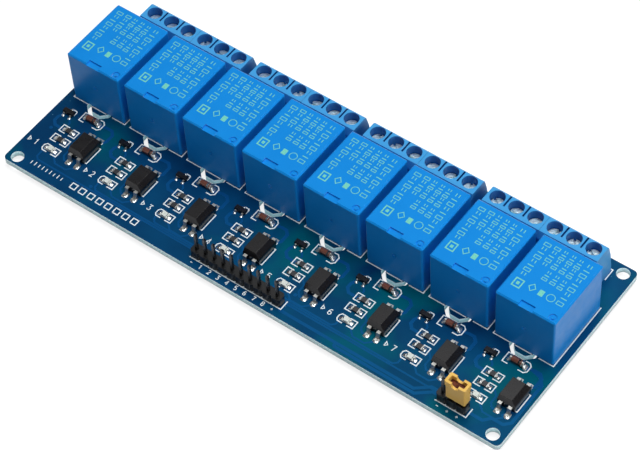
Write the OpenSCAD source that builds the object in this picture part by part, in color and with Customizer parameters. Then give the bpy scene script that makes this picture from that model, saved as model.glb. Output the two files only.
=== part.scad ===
// Eight-channel relay module board, in millimetres.
// The origin is the middle of the four mounting holes, on the underside of the board.
// +X runs along the row of relays, +Y towards the screw terminals and +Z up, out of the components.

/* [Board] */
// Length of the board, along the row of relays
board_l = 140; // [139.6:0.2:142]
// Width of the board, from the pin headers to the screw terminals
board_w = 55.9; // [55.5:0.1:57.5]
// Thickness of the board
board_t = 1.6; // [1.2:0.2:2]
// Radius of the board's corners
corner_r = 1.2; // [0.6:0.2:2]

/* [Mounting holes] */
// Distance between the hole centres along the board
hole_dx = 134.4; // [133.8:0.2:134.6]
// Distance between the hole centres across the board
hole_dy = 51.6; // [51:0.1:51.8]
// Diameter of the holes, a clearance for an M3 screw
hole_d = 3.2; // [3:0.1:3.4]

/* [Isolation slots] */
// Width of the slot milled round each relay's common pin
slot_w = 1; // [0.8:0.1:1.2]
// Reach of the slot in front of the relay
slot_reach = 2.3; // [2.1:0.1:2.5]

/* [Relays] */
// Distance from one relay to the next
relay_pitch = 17.25; // [17:0.05:17.3]
// Width of a relay's cover, along the row
relay_w = 15.4; // [15.2:0.1:15.6]
// Length of a relay's cover, across the board
relay_l = 19; // [18.8:0.1:19.2]
// Height of a relay's top above the board
relay_h = 15.5; // [15.3:0.1:16]
// Wall of the moulded cover
cover_wall = 0.8; // [0.7:0.05:0.85]
// Angle by which the armature stands open at rest
armature_open = 3; // [2.6:0.1:3]
// Height of the stand-offs under a relay
relay_standoff = 0.3; // [0.2:0.05:0.4]

/* [Screw terminals] */
// Distance from one screw to the next inside a block
pole_pitch = 5.08; // [5:0.04:5.08]
// Distance from one pair of blocks to the next pair
block_pitch = 32.9; // [32.5:0.1:33.1]
// Depth of a block at its foot
block_d = 7.4; // [7.3:0.1:7.6]
// Height of a block above the board
block_h = 10.7; // [10.5:0.1:11.2]
// Diameter of the bore above each screw
screw_bore_d = 3.7; // [3.6:0.05:3.8]

/* [Channel components] */
// Length of an optocoupler body, along the board
opto_l = 4.6; // [4.4:0.1:4.8]
// Width of an optocoupler body, across the board
opto_w = 6.5; // [6.3:0.1:6.7]
// Height of an optocoupler above the board
opto_h = 3.2; // [3:0.1:3.6]
// Diameter of the glass diode's end caps
diode_d = 1.5; // [1.4:0.05:1.6]
// Length of the glass diode
diode_l = 3.5; // [3.3:0.1:3.7]

/* [Pin headers] */
// Distance from one pin to the next
pin_pitch = 2.54; // [2.5:0.02:2.6]
// Side of a square header pin
pin_side = 0.64; // [0.6:0.02:0.66]
// Height of the header's housing
housing_h = 2.54; // [2.4:0.02:2.6]
// Height of the pin tips above the board
pin_top = 8; // [7.6:0.1:8.6]

/* [Jumper] */
// Length of the jumper cap over two pins
jumper_l = 5; // [4.9:0.05:5.2]
// Width of the jumper cap
jumper_w = 2.4; // [2.3:0.05:2.5]
// Height of the jumper cap
jumper_h = 5.9; // [5.8:0.1:6.4]

/* [Hidden] */
$fn = 48;

channels = 8;
cut = 0.1;            // how far a cutter runs past the face that it opens
tail = 1.5;           // length of every soldered tail below the board

// Relays: the places of their pins, from the middle of a relay
relay_front = -3.9;                       // front face of the covers
relay_y = relay_front + relay_l / 2;
relay_foot = board_t + relay_standoff;    // lower rim of the covers
relay_top = board_t + relay_h;
base_t = 1.5;
base_top = relay_foot + base_t;
cover_inner = [relay_w - 2 * cover_wall, relay_l - 2 * cover_wall];
cover_r = 0.5;                            // upright corners, outside
cover_inner_r = 0.3;                      // and inside
cover_bevel = 0.35;
standoff_at = [5.8, [-2.4, 5]];           // along the row, either side, and across the board
standoff_d = 1.2;
coil_pin_x = 6;
coil_pin_y = -4.85;
common_y = -6.85;
contact_x = 6;
contact_y = 7.35;
common_pin = [1, 0.5];
coil_pin = [0.6, 0.6];
contact_pin = [1, 0.4];
relay_drill = 1.4;

// Relays: the magnet system inside the cover
yoke_w = 8.4;
yoke_t = 1.2;
yoke_y = -6.6;                            // outer face of the upright leg
yoke_foot_l = 9;
yoke_top = relay_top - 4.3;
coil_y = -0.9;
core_r = 1.5;
sleeve_r = 2;
coil_r = 4.2;
flange_w = 8.8;
flange_t = 0.9;
pole_r = 2.3;
pole_t = 0.5;
pole_gap = 0.05;
spool_foot = base_top + yoke_t;
spool_top = yoke_top - pole_gap - pole_t;
hinge_play = 0.02;
armature_t = 1;
armature_w = 7.2;
armature_l = 11.2;
blade_t = 0.25;
blade_w = 3.2;
spring_w = 4;                             // fixed end of the contact spring
spring_t = 0.3;
spring_drop = 0.5;                        // from the yoke's top down to the spring's end
rivet_y = 6.9;
contact_reach = rivet_y - yoke_y;         // from the hinge line to the moving contact
rivet_d = 1.6;
rivet_h = 0.5;
contact_play = 0.02;
tongue_t = 0.3;
tongue_y = 6.2;
tongue_past = 0.9;                        // how far a tongue runs past the rivet's middle

// Screw terminals: places along Y are measured from a block's relay side
block_front = 17.4;
block_poles = 3;
block_l = block_poles * pole_pitch;
block_seam = 0.06;                        // play between two blocks that stand butted
wire_side = [[0, 1.6], [0.4, 5], [0.7, 7]];   // draw-in of the wire side, and at what height
top_edge = [2.1, 0.5, 0.4];               // top's draw-in on the wire side, and the bevel along it
relay_bevel = [0.9, 1.8];                 // bevel along the top on the relay side
entry_w = 3.4;
entry_z = [1.5, 5.2];
entry_splay = 0.45;
groove = [0.45, 3.4, 1.3];                // between two poles, seen from above
groove_y = 2.1;
screw_y = 3.5;
chamber = [3.7, 4.4, 6.5];
chamber_y = 0.9;
clamp_w = 3.4;
clamp_t = [0.45, 0.8];
clamp_y = [1.9, 5.1];
clamp_z = [1.7, 6.4];
bar_t = 0.7;
bar_w = 2.2;
head_d = 3.4;
head_h = 1.8;
shank_d = 2.5;
terminal_drill = 1.4;
terminal_pin = [1, 0.8];
terminal_pin_y = block_front + chamber_y + terminal_pin[1] / 2;

// Components of one channel, from the middle of its relay
opto_at = [5.45, -15.6];
transistor_at = [-5.3, -8.75];
diode_at = [0.86, -7.6];
opto_belt = [1.6, 1.9];                   // heights of the belt at the parting line
opto_bevel = [1.25, 1];                   // bevel that marks the first pin, inward and downward
opto_lead = [0.9, 0.25];                  // width and thickness
opto_lead_z = 1.62;                       // where the leads leave the body
opto_lead_run = 0.75;
opto_lead_foot = 0.7;
resistors_at = [[-1.7, -13.1], [-1.7, -16.3]];
led_at = [-1.65, -19.8];
chip = [2, 1.25, 0.55];
chip_end = 0.35;
led_carrier_t = 0.4;
diode_cap = 0.45;
transistor = [2.9, 1.3, 1.05];

// Pin headers
header_y = -24.3;
input_pins = 10;
input_x = -2.8;
supply_pins = 3;
supply_x = 55.9;
header_drill = 1;
header_w = 2.5;

// Jumper, over the two pins at the end of the supply header
jumper_x = supply_x + pin_pitch / 2;
jumper_wall = 0.45;
jumper_floor = 0.5;
pin_hole = 0.9;
clip_t = 0.2;
clip_play = 0.02;
jumper_foot = board_t + pin_top - 4.45;

function channel_x(i) = (i - (channels - 1) / 2) * relay_pitch;
function block_x(group, half) = (group - 1.5) * block_pitch + (half - 0.5) * block_l;
function pole_x(k) = (k - (block_poles - 1) / 2) * pole_pitch;
function pin_x(k, count) = (k - (count - 1) / 2) * pin_pitch;

// ---------- shared shapes ----------

// Upright rectangle with round corners, centred in plan
module round_plate(size, r, h) {
    linear_extrude(h) {
        square([size[0] - 2 * r, size[1]], center = true);
        square([size[0], size[1] - 2 * r], center = true);
        for (sx = [-1, 1], sy = [-1, 1])
            translate([sx * (size[0] / 2 - r), sy * (size[1] / 2 - r)]) circle(r);
    }
}

// Profile drawn in YZ and extruded along X, centred
module along_x(l) {
    rotate([90, 0, 90]) linear_extrude(l, center = true) children();
}

// Profile drawn in XZ and extruded along Y, centred
module along_y(l) {
    rotate([90, 0, 0]) linear_extrude(l, center = true) children();
}

// Upright bar of rectangular section between two heights
module post(section, z0, z1) {
    translate([-section[0] / 2, -section[1] / 2, z0]) cube([section[0], section[1], z1 - z0]);
}

// Straight stretch of a milled slot with round ends
module slot_run(p, q, w) {
    d = q - p;
    len = norm(d);
    translate(p) rotate(atan2(d[1], d[0])) {
        translate([0, -w / 2]) square([len, w]);
        circle(w / 2);
        translate([len, 0]) circle(w / 2);
    }
}

module at_channels() {
    for (i = [0 : channels - 1]) translate([channel_x(i), 0, 0]) children();
}

module at_relays() {
    at_channels() translate([0, relay_y, 0]) children();
}

// The children once for every pole of one pair of blocks, at the blocks' relay side
module at_poles(group) {
    for (half = [0, 1], k = [0 : block_poles - 1])
        translate([block_x(group, half) + pole_x(k), block_front, board_t]) children();
}

module at_all_poles() {
    for (group = [0 : 3]) at_poles(group) children();
}

module at_pins(x, count) {
    for (k = [0 : count - 1]) translate([x + pin_x(k, count), header_y, 0]) children();
}

// ---------- board ----------

module isolation_slot() {
    x = 3.45 - slot_w / 2;
    y_low = relay_front - slot_reach + slot_w / 2;
    corner = 1.5;
    path = [
        [-x, 0.6], [-x, y_low + corner], [-x + corner, y_low],
        [x - corner, y_low], [x, y_low + corner], [x, 0.6]
    ];
    for (k = [0 : len(path) - 2]) slot_run(path[k], path[k + 1], slot_w);
}

module relay_drills(d) {
    at_relays() {
        translate([0, common_y]) circle(d = d);
        for (sx = [-1, 1]) {
            translate([sx * coil_pin_x, coil_pin_y]) circle(d = d);
            translate([sx * contact_x, contact_y]) circle(d = d);
        }
    }
}

module circuit_board() {
    color("darkcyan") difference() {
        round_plate([board_l, board_w], corner_r, board_t);
        translate([0, 0, -cut]) linear_extrude(board_t + 2 * cut) {
            for (sx = [-1, 1], sy = [-1, 1])
                translate([sx * hole_dx / 2, sy * hole_dy / 2]) circle(d = hole_d);
            at_channels() isolation_slot();
            relay_drills(relay_drill);
            for (group = [0 : 3], half = [0, 1], k = [0 : block_poles - 1])
                translate([block_x(group, half) + pole_x(k), terminal_pin_y])
                    circle(d = terminal_drill);
            at_pins(input_x, input_pins) circle(d = header_drill);
            at_pins(supply_x, supply_pins) circle(d = header_drill);
        }
    }
}

// Solder in one plated hole, with a fillet that tapers down the tail below
module solder_joint(drill, section) {
    difference() {
        union() {
            cylinder(d = drill, h = board_t);
            translate([0, 0, -tail]) cylinder(d1 = drill + 0.1, d2 = drill + 1, h = tail);
        }
        post(section, -tail - cut, board_t + cut);
    }
}

module solder_joints() {
    color("gainsboro") {
        at_relays() {
            translate([0, common_y, 0]) solder_joint(relay_drill, common_pin);
            for (sx = [-1, 1]) {
                translate([sx * coil_pin_x, coil_pin_y, 0]) solder_joint(relay_drill, coil_pin);
                translate([sx * contact_x, contact_y, 0]) solder_joint(relay_drill, contact_pin);
            }
        }
        for (group = [0 : 3], half = [0, 1], k = [0 : block_poles - 1])
            translate([block_x(group, half) + pole_x(k), terminal_pin_y, 0])
                solder_joint(terminal_drill, terminal_pin);
        at_pins(input_x, input_pins) solder_joint(header_drill, [pin_side, pin_side]);
        at_pins(supply_x, supply_pins) solder_joint(header_drill, [pin_side, pin_side]);
    }
}

// ---------- relays ----------

// Solid with round upright corners and a bevel round its top
module bevelled_block(size, r, bevel) {
    intersection() {
        round_plate([size[0], size[1]], r, size[2]);
        along_y(size[1] + 1) bevelled_profile(size[0], size[2], bevel);
        along_x(size[0] + 1) bevelled_profile(size[1], size[2], bevel);
    }
}

module bevelled_profile(w, h, bevel) {
    polygon([
        [-w / 2, 0], [w / 2, 0], [w / 2, h - bevel],
        [w / 2 - bevel, h], [bevel - w / 2, h], [-w / 2, h - bevel]
    ]);
}

// Moulded cover, open below, with a latch notch, a gate mark in front and the nub that vents it once cut
module relay_cover(i) {
    h = relay_top - relay_foot;
    notch = [3.6, 1.5, 0.45];
    nub = [1.9, 0.8, 0.25];
    nub_at = [relay_w / 2 - 1.45, 1.3 - relay_l / 2];
    gate = [1.1, 0.45, 0.12];
    color("dodgerblue") translate([channel_x(i), relay_y, relay_foot]) difference() {
        bevelled_block([relay_w, relay_l, h], cover_r, cover_bevel);
        translate([0, 0, -cut]) round_plate(cover_inner, cover_inner_r, h - cover_wall + cut);
        translate([-notch[0] / 2, -relay_l / 2 - cut, h - notch[2]])
            cube([notch[0], notch[1] + cut, notch[2] + cut]);
        translate([nub_at[0], nub_at[1], h - nub[2]]) cup(nub, 1);
        translate([0, gate[2] - relay_l / 2, h / 2]) rotate([90, 0, 0]) cup(gate, 1);
    }
}

// Round recess that leaves a peg in its middle: outer and inner diameter and depth
module cup(size, above) {
    difference() {
        cylinder(d = size[0], h = size[2] + above);
        translate([0, 0, -cut]) cylinder(d = size[1], h = size[2] + cut);
    }
}

// Outlines of all five pins of a relay, between two heights
module relay_pin_posts(z0, z1) {
    translate([0, common_y, 0]) post(common_pin, z0, z1);
    for (sx = [-1, 1]) {
        translate([sx * coil_pin_x, coil_pin_y, 0]) post(coil_pin, z0, z1);
        translate([sx * contact_x, contact_y, 0]) post(contact_pin, z0, z1);
    }
}

module relay_bases() {
    color("midnightblue") at_relays() {
        difference() {
            translate([0, 0, relay_foot]) round_plate(cover_inner, cover_inner_r, base_t);
            relay_pin_posts(relay_foot - cut, base_top + cut);
        }
        for (sx = [-1, 1], y = standoff_at[1])
            translate([sx * standoff_at[0], y, board_t]) cylinder(d = standoff_d, h = relay_standoff);
    }
}

module relay_coil_pins() {
    color("silver") at_relays() for (sx = [-1, 1])
        translate([sx * coil_pin_x, coil_pin_y, 0]) post(coil_pin, -tail, spool_foot + flange_t + 0.6);
}

// Common pin and the fixed end of the contact spring, riveted behind the yoke
module relay_common_pins() {
    color("goldenrod") at_relays() {
        translate([0, common_y, 0]) post(common_pin, -tail, base_top + 0.6);
        translate([-spring_w / 2, yoke_y - spring_t, base_top])
            cube([spring_w, spring_t, yoke_top - base_top - spring_drop]);
    }
}

module relay_yokes() {
    color("slategray") at_relays() difference() {
        union() {
            translate([-yoke_w / 2, yoke_y, base_top]) cube([yoke_w, yoke_t, yoke_top - base_top]);
            translate([-yoke_w / 2, yoke_y, base_top]) cube([yoke_w, yoke_foot_l, yoke_t]);
        }
        translate([0, coil_y, base_top - cut]) cylinder(r = core_r, h = yoke_t + 2 * cut);
    }
}

module relay_cores() {
    color("gray") at_relays() translate([0, coil_y, 0]) {
        translate([0, 0, base_top]) cylinder(r = core_r, h = spool_top - base_top);
        translate([0, 0, spool_top]) cylinder(r = pole_r, h = pole_t);
    }
}

// Spool with two square flanges; the lower one has an ear round each coil pin
module relay_bobbins() {
    ear = [2.4, 2.4];
    color("ivory") at_relays() difference() {
        union() {
            translate([0, coil_y, spool_foot]) {
                round_plate([flange_w, flange_w], 0.8, flange_t);
                cylinder(r = sleeve_r, h = spool_top - spool_foot);
                translate([0, 0, spool_top - spool_foot - flange_t])
                    round_plate([flange_w, flange_w], 0.8, flange_t);
            }
            for (sx = [-1, 1])
                translate([sx * (coil_pin_x - 0.5), coil_pin_y, 0])
                    post(ear, spool_foot, spool_foot + flange_t);
        }
        translate([0, coil_y, spool_foot - cut]) cylinder(r = core_r, h = spool_top - spool_foot + 2 * cut);
        for (sx = [-1, 1])
            translate([sx * coil_pin_x, coil_pin_y, 0])
                post(coil_pin, spool_foot - cut, spool_foot + flange_t + cut);
    }
}

module relay_coils() {
    z0 = spool_foot + flange_t;
    z1 = spool_top - flange_t;
    color("sienna") at_relays() translate([0, coil_y, z0]) difference() {
        cylinder(r = coil_r, h = z1 - z0);
        translate([0, 0, -cut]) cylinder(r = sleeve_r, h = z1 - z0 + 2 * cut);
    }
}

// Iron plate on the yoke's edge with the contact spring on its back, tilted open at rest
module relay_armature(i) {
    rivet_z = [armature_t - rivet_h, armature_t + blade_t + rivet_h];
    color("lightsteelblue")
        translate([channel_x(i), relay_y + yoke_y, yoke_top + hinge_play])
        rotate([armature_open, 0, 0]) {
            translate([-armature_w / 2, 0, 0]) cube([armature_w, armature_l, armature_t]);
            translate([-blade_w / 2, 0, armature_t]) cube([blade_w, contact_reach + 1, blade_t]);
            translate([0, contact_reach, rivet_z[0]]) cylinder(d = rivet_d, h = rivet_z[1] - rivet_z[0]);
        }
}

// Normally open contact below the moving one and normally closed contact above it
module relay_fixed_contacts() {
    open_z = yoke_top + armature_t - rivet_h - contact_play;
    closed_z = yoke_top + hinge_play + armature_t + blade_t + rivet_h
        + (contact_reach + rivet_d / 2) * sin(armature_open) + contact_play;
    color("darkgoldenrod") at_relays() {
        fixed_contact(-1, open_z - rivet_h - tongue_t, open_z - rivet_h);
        fixed_contact(1, closed_z + rivet_h, closed_z);
    }
}

module fixed_contact(side, tongue_z, rivet_z) {
    reach = contact_x + contact_pin[0] / 2;
    translate([side * contact_x, contact_y, 0]) post(contact_pin, -tail, tongue_z + tongue_t);
    translate([side > 0 ? -tongue_past : -reach, tongue_y, tongue_z])
        cube([reach + tongue_past, contact_y + contact_pin[1] / 2 - tongue_y, tongue_t]);
    translate([0, rivet_y, rivet_z]) cylinder(d = rivet_d, h = rivet_h);
}

// ---------- screw terminals ----------

// Side of a block: upright on the relay side, drawn in towards the top on the wire side
module block_profile() {
    polygon([
        [0, 0], [block_d, 0], for (p = wire_side) [block_d - p[0], p[1]],
        [block_d - top_edge[0] + top_edge[1], block_h - top_edge[2]], [block_d - top_edge[0], block_h],
        [relay_bevel[0], block_h], [0, block_h - relay_bevel[1]]
    ]);
}

module terminal_blocks(group) {
    color("cornflowerblue") {
        for (half = [0, 1]) translate([block_x(group, half), block_front, board_t]) difference() {
            along_x(block_l - block_seam) block_profile();
            for (k = [0 : block_poles - 1]) translate([pole_x(k), 0, 0]) {
                translate([-chamber[0] / 2, chamber_y, -cut])
                    cube([chamber[0], chamber[1], chamber[2] + cut]);
                translate([-entry_w / 2, chamber_y + chamber[1] - cut, entry_z[0]])
                    cube([entry_w, block_d, entry_z[1] - entry_z[0]]);
                wire_funnel();
                translate([0, screw_y, chamber[2] - cut]) cylinder(d = screw_bore_d, h = block_h);
            }
            for (k = [0 : block_poles - 2])
                translate([pole_x(k) + (pole_pitch - groove[0]) / 2, groove_y, block_h - groove[2]])
                    cube([groove[0], groove[1], groove[2] + cut]);
        }
    }
}

// Splayed mouth of one wire entry
module wire_funnel() {
    start = block_d - 1.2;
    past = block_d + 1;
    reach = entry_w / 2 + entry_splay;
    low = entry_z[0] - entry_splay;
    high = entry_z[1] + entry_splay;
    intersection() {
        along_x(2 * reach) polygon([
            [start, entry_z[0]], [block_d, low], [past, low],
            [past, high], [block_d - 0.5, high], [start, entry_z[1]]
        ]);
        linear_extrude(block_h) polygon([
            [-entry_w / 2, start], [entry_w / 2, start], [reach, block_d - 0.2], [reach, past],
            [-reach, past], [-reach, block_d - 0.2]
        ]);
    }
}

// Slotted screws, each left at its own angle
module terminal_screws() {
    slot = [0.6, 0.6];
    bar_top = clamp_z[1] - clamp_t[1];
    color("lightgray") for (group = [0 : 3], half = [0, 1], k = [0 : block_poles - 1]) {
        turn = 37 * (group * 2 * block_poles + half * block_poles + k) + 20;
        translate([block_x(group, half) + pole_x(k), block_front + screw_y, board_t]) {
            difference() {
                translate([0, 0, clamp_z[1]]) cylinder(d = head_d, h = head_h);
                rotate(turn) translate([-head_d / 2 - cut, -slot[0] / 2, clamp_z[1] + head_h - slot[1]])
                    cube([head_d + 2 * cut, slot[0], slot[1] + cut]);
            }
            translate([0, 0, bar_top]) cylinder(d = shank_d, h = clamp_z[1] - bar_top);
        }
    }
}

// Cage that the screw draws up, open along the wire
module terminal_clamps() {
    color("khaki") at_all_poles() difference() {
        translate([-clamp_w / 2, clamp_y[0], clamp_z[0]])
            cube([clamp_w, clamp_y[1] - clamp_y[0], clamp_z[1] - clamp_z[0]]);
        translate([-clamp_w / 2 + clamp_t[0], clamp_y[0] - cut, clamp_z[0] + clamp_t[1]])
            cube([
                clamp_w - 2 * clamp_t[0], clamp_y[1] - clamp_y[0] + 2 * cut,
                clamp_z[1] - clamp_z[0] - 2 * clamp_t[1]
            ]);
        translate([0, screw_y, clamp_z[1] - clamp_t[1] - cut])
            cylinder(d = shank_d, h = clamp_t[1] + 2 * cut);
    }
}

// Current bar through the cage and its tail through the board
module terminal_pins() {
    top = clamp_z[1] - clamp_t[1];
    color("silver") at_all_poles() {
        translate([-terminal_pin[0] / 2, chamber_y, -board_t - tail])
            cube([terminal_pin[0], terminal_pin[1], board_t + tail + top]);
        translate([-bar_w / 2, chamber_y, top - bar_t]) cube([bar_w, chamber[1], bar_t]);
    }
}

// ---------- channel components ----------

// Moulded body with a belt at the parting line: size, belt heights and draw-in at top and foot
module moulded_body(size, belt, top_in, foot_in) {
    intersection() {
        along_x(size[0] + 1) moulded_profile(size[1], size[2], belt, top_in, foot_in);
        along_y(size[1] + 1) moulded_profile(size[0], size[2], belt, top_in / 3, foot_in);
    }
}

module moulded_profile(w, h, belt, top_in, foot_in) {
    lift = 0.08;
    polygon([
        [foot_in - w / 2, lift], [w / 2 - foot_in, lift], [w / 2, belt[0]], [w / 2, belt[1]],
        [w / 2 - top_in, h], [top_in - w / 2, h], [-w / 2, belt[1]], [-w / 2, belt[0]]
    ]);
}

// Lead bent down to the board, leaving a body at y0: thickness, heights and foot
module gull_lead(w, t, y0, z0, run, foot) {
    along_x(w) polygon([
        [y0, z0], [y0, z0 + t], [y0 + run, z0 + t], [y0 + run + 1.2 * t, t],
        [y0 + run + 1.2 * t + foot, t], [y0 + run + 1.2 * t + foot, 0],
        [y0 + run, 0], [y0 + run - t, z0]
    ]);
}

module optocoupler_bodies() {
    edge = [opto_l / 2, opto_h];
    color([0.13, 0.13, 0.14]) at_channels() translate([opto_at[0], opto_at[1], board_t]) difference() {
        moulded_body([opto_l, opto_w, opto_h], opto_belt, 0.6, 0.15);
        along_y(opto_w + 2 * cut) polygon([
            [edge[0] - opto_bevel[0], edge[1] + cut], [edge[0] - opto_bevel[0], edge[1]],
            [edge[0], edge[1] - opto_bevel[1]], [edge[0] + cut, edge[1] - opto_bevel[1]],
            [edge[0] + cut, edge[1] + cut]
        ]);
    }
}

module optocoupler_leads() {
    color("silver") at_channels() translate([opto_at[0], opto_at[1], board_t])
        for (sx = [-1, 1], turn = [0, 180])
            translate([sx * pin_pitch / 2, 0, 0]) rotate(turn)
                gull_lead(opto_lead[0], opto_lead[1], opto_w / 2, opto_lead_z, opto_lead_run, opto_lead_foot);
}

module transistor_bodies() {
    color([0.1, 0.1, 0.11]) at_channels() translate([transistor_at[0], transistor_at[1], board_t])
        moulded_body(transistor, [0.42, 0.6], 0.1, 0.05);
}

module transistor_leads() {
    color("silver") at_channels() translate([transistor_at[0], transistor_at[1], board_t]) {
        for (sx = [-1, 1]) translate([sx * 0.95, 0, 0]) rotate(180) transistor_lead();
        transistor_lead();
    }
}

module transistor_lead() {
    gull_lead(0.42, 0.12, transistor[1] / 2, 0.45, 0.25, 0.2);
}

module diode_glass() {
    color([0.75, 0.4, 0.25]) at_channels() translate([diode_at[0], diode_at[1], board_t + diode_d / 2])
        rotate([0, 90, 0]) cylinder(d = diode_d - 0.1, h = diode_l - 2 * diode_cap, center = true);
}

module diode_caps() {
    color("silver") at_channels() translate([diode_at[0], diode_at[1], board_t + diode_d / 2])
        for (sx = [-1, 1]) translate([sx * (diode_l - diode_cap) / 2, 0, 0])
            rotate([0, 90, 0]) cylinder(d = diode_d, h = diode_cap, center = true);
}

module at_resistors() {
    at_channels() for (p = resistors_at) translate([p[0], p[1], board_t]) children();
}

module resistor_bodies() {
    color([0.12, 0.12, 0.13]) at_resistors()
        post([chip[0] - 2 * chip_end, chip[1]], 0.04, chip[2] - 0.05);
}

module resistor_ends() {
    color("silver") at_resistors() for (sx = [-1, 1])
        translate([sx * (chip[0] - chip_end) / 2, 0, 0]) post([chip_end, chip[1]], 0, chip[2]);
}

// Chip carrier with a half-round terminal cut into each end
module led_bases() {
    color("whitesmoke") at_channels() translate([led_at[0], led_at[1], board_t]) difference() {
        post([chip[0], chip[1]], 0, led_carrier_t);
        for (sx = [-1, 1]) translate([sx * chip[0] / 2, 0, -cut])
            cylinder(r = 0.3, h = led_carrier_t + 2 * cut);
    }
}

module led_lenses() {
    foot = chip[0] / 2 - 0.32;
    lens_h = 0.5;
    draft = 0.08;
    color([0.9, 0.95, 0.92]) at_channels() translate([led_at[0], led_at[1], board_t + led_carrier_t])
        along_y(chip[1]) polygon([[-foot, 0], [foot, 0], [foot - draft, lens_h], [draft - foot, lens_h]]);
}

// ---------- pin headers and jumper ----------

// Row of square cells with cut corners, one round each pin
module header_housing(x, count) {
    corner = 0.45;
    w = header_w / 2;
    p = pin_pitch / 2;
    color([0.1, 0.1, 0.11]) translate([0, 0, board_t]) difference() {
        at_pins(x, count) linear_extrude(housing_h) polygon([
            [-p, corner - w], [corner - p, -w], [p - corner, -w], [p, corner - w],
            [p, w - corner], [p - corner, w], [corner - p, w], [-p, w - corner]
        ]);
        at_pins(x, count) post([pin_side, pin_side], -cut, housing_h + cut);
    }
}

// Square pins with a bevelled tip at each end
module header_pins(x, count) {
    color([0.3, 0.3, 0.32]) at_pins(x, count) intersection() {
        along_x(pin_side) pin_profile();
        along_y(pin_side) pin_profile();
    }
}

module pin_profile() {
    s = pin_side / 2;
    bevel = 0.18;
    top = board_t + pin_top;
    polygon([
        [bevel - s, -tail], [s - bevel, -tail], [s, 0.3 - tail], [s, top - 0.35],
        [s - bevel, top], [bevel - s, top], [-s, top - 0.35], [-s, 0.3 - tail]
    ]);
}

module input_header_housing() {
    header_housing(input_x, input_pins);
}

module input_header_pins() {
    header_pins(input_x, input_pins);
}

module supply_header_housing() {
    header_housing(supply_x, supply_pins);
}

module supply_header_pins() {
    header_pins(supply_x, supply_pins);
}

// Cap with two pin holes in its floor, a lip, and a round notch through both long sides of its mouth
module jumper_cap() {
    lip = [0.18, 1.5];
    notch_r = 0.95;
    color("gold") translate([jumper_x, header_y, jumper_foot]) difference() {
        union() {
            round_plate([jumper_l, jumper_w], 0.3, jumper_h - lip[1] / 2);
            translate([0, 0, jumper_h - lip[1]])
                round_plate([jumper_l + 2 * lip[0], jumper_w + 2 * lip[0]], 0.4, lip[1]);
        }
        translate([0, 0, jumper_floor]) round_plate(
            [jumper_l - 2 * jumper_wall, jumper_w - 2 * jumper_wall], 0.2, jumper_h);
        for (sx = [-1, 1])
            translate([sx * pin_pitch / 2, 0, 0]) post([pin_hole, pin_hole], -cut, jumper_floor + cut);
        translate([0, 0, jumper_h - 0.35]) along_y(jumper_w + 2) circle(notch_r);
    }
}

// Folded contact: two leaves joined by a bridge that rests on the pin tips
module jumper_clip() {
    leaf_l = jumper_l - 2 * jumper_wall - 0.4;
    outer = jumper_w / 2 - jumper_wall;
    bridge_z = board_t + pin_top;
    grip_r = 0.3;
    leaf_foot = jumper_foot + jumper_floor;
    color("silver") translate([jumper_x, header_y, 0]) {
        for (sy = [-1, 1]) {
            translate([-leaf_l / 2, sy > 0 ? outer - clip_t : -outer, leaf_foot])
                cube([leaf_l, clip_t, bridge_z + clip_t - leaf_foot]);
            translate([0, sy * (pin_side / 2 + clip_play + grip_r), leaf_foot + 1.2]) intersection() {
                rotate([0, 90, 0]) cylinder(r = grip_r, h = leaf_l - 0.4, center = true);
                translate([0, -sy * grip_r / 2, 0]) cube([leaf_l, grip_r, 2 * grip_r], center = true);
            }
        }
        translate([-leaf_l / 2, -outer, bridge_z]) cube([leaf_l, 2 * outer, clip_t]);
    }
}

circuit_board();
relay_cover(0);  // relay_cover_1
relay_cover(1);  // relay_cover_2
relay_cover(2);  // relay_cover_3
relay_cover(3);  // relay_cover_4
relay_cover(4);  // relay_cover_5
relay_cover(5);  // relay_cover_6
relay_cover(6);  // relay_cover_7
relay_cover(7);  // relay_cover_8
relay_armature(0);  // relay_armature_1
relay_armature(1);  // relay_armature_2
relay_armature(2);  // relay_armature_3
relay_armature(3);  // relay_armature_4
relay_armature(4);  // relay_armature_5
relay_armature(5);  // relay_armature_6
relay_armature(6);  // relay_armature_7
relay_armature(7);  // relay_armature_8
relay_bases();
relay_bobbins();
relay_coils();
relay_cores();
relay_yokes();
relay_fixed_contacts();
relay_coil_pins();
relay_common_pins();
terminal_blocks(0);  // terminal_blocks_1
terminal_blocks(1);  // terminal_blocks_2
terminal_blocks(2);  // terminal_blocks_3
terminal_blocks(3);  // terminal_blocks_4
terminal_screws();
terminal_clamps();
terminal_pins();
optocoupler_bodies();
optocoupler_leads();
transistor_bodies();
transistor_leads();
diode_glass();
diode_caps();
resistor_bodies();
resistor_ends();
led_bases();
led_lenses();
input_header_housing();
input_header_pins();
supply_header_housing();
supply_header_pins();
jumper_cap();
jumper_clip();
solder_joints();
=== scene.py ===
"""Looks of an eight-channel relay module board, dressed over its packed construction.

The construction gives every solid: board, relays, terminals, small parts, headers and jumper. This
script gives each of them its finish and adds what is printed, plated or soldered on them. Sizes of
those additions are in millimetres, and places come from the frame wherever a solid marks them.
"""

import logging
import math
from dataclasses import dataclass
from enum import Enum
from typing import Callable, Iterable, Sequence

import bpy
from mathutils import Matrix, Vector

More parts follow.
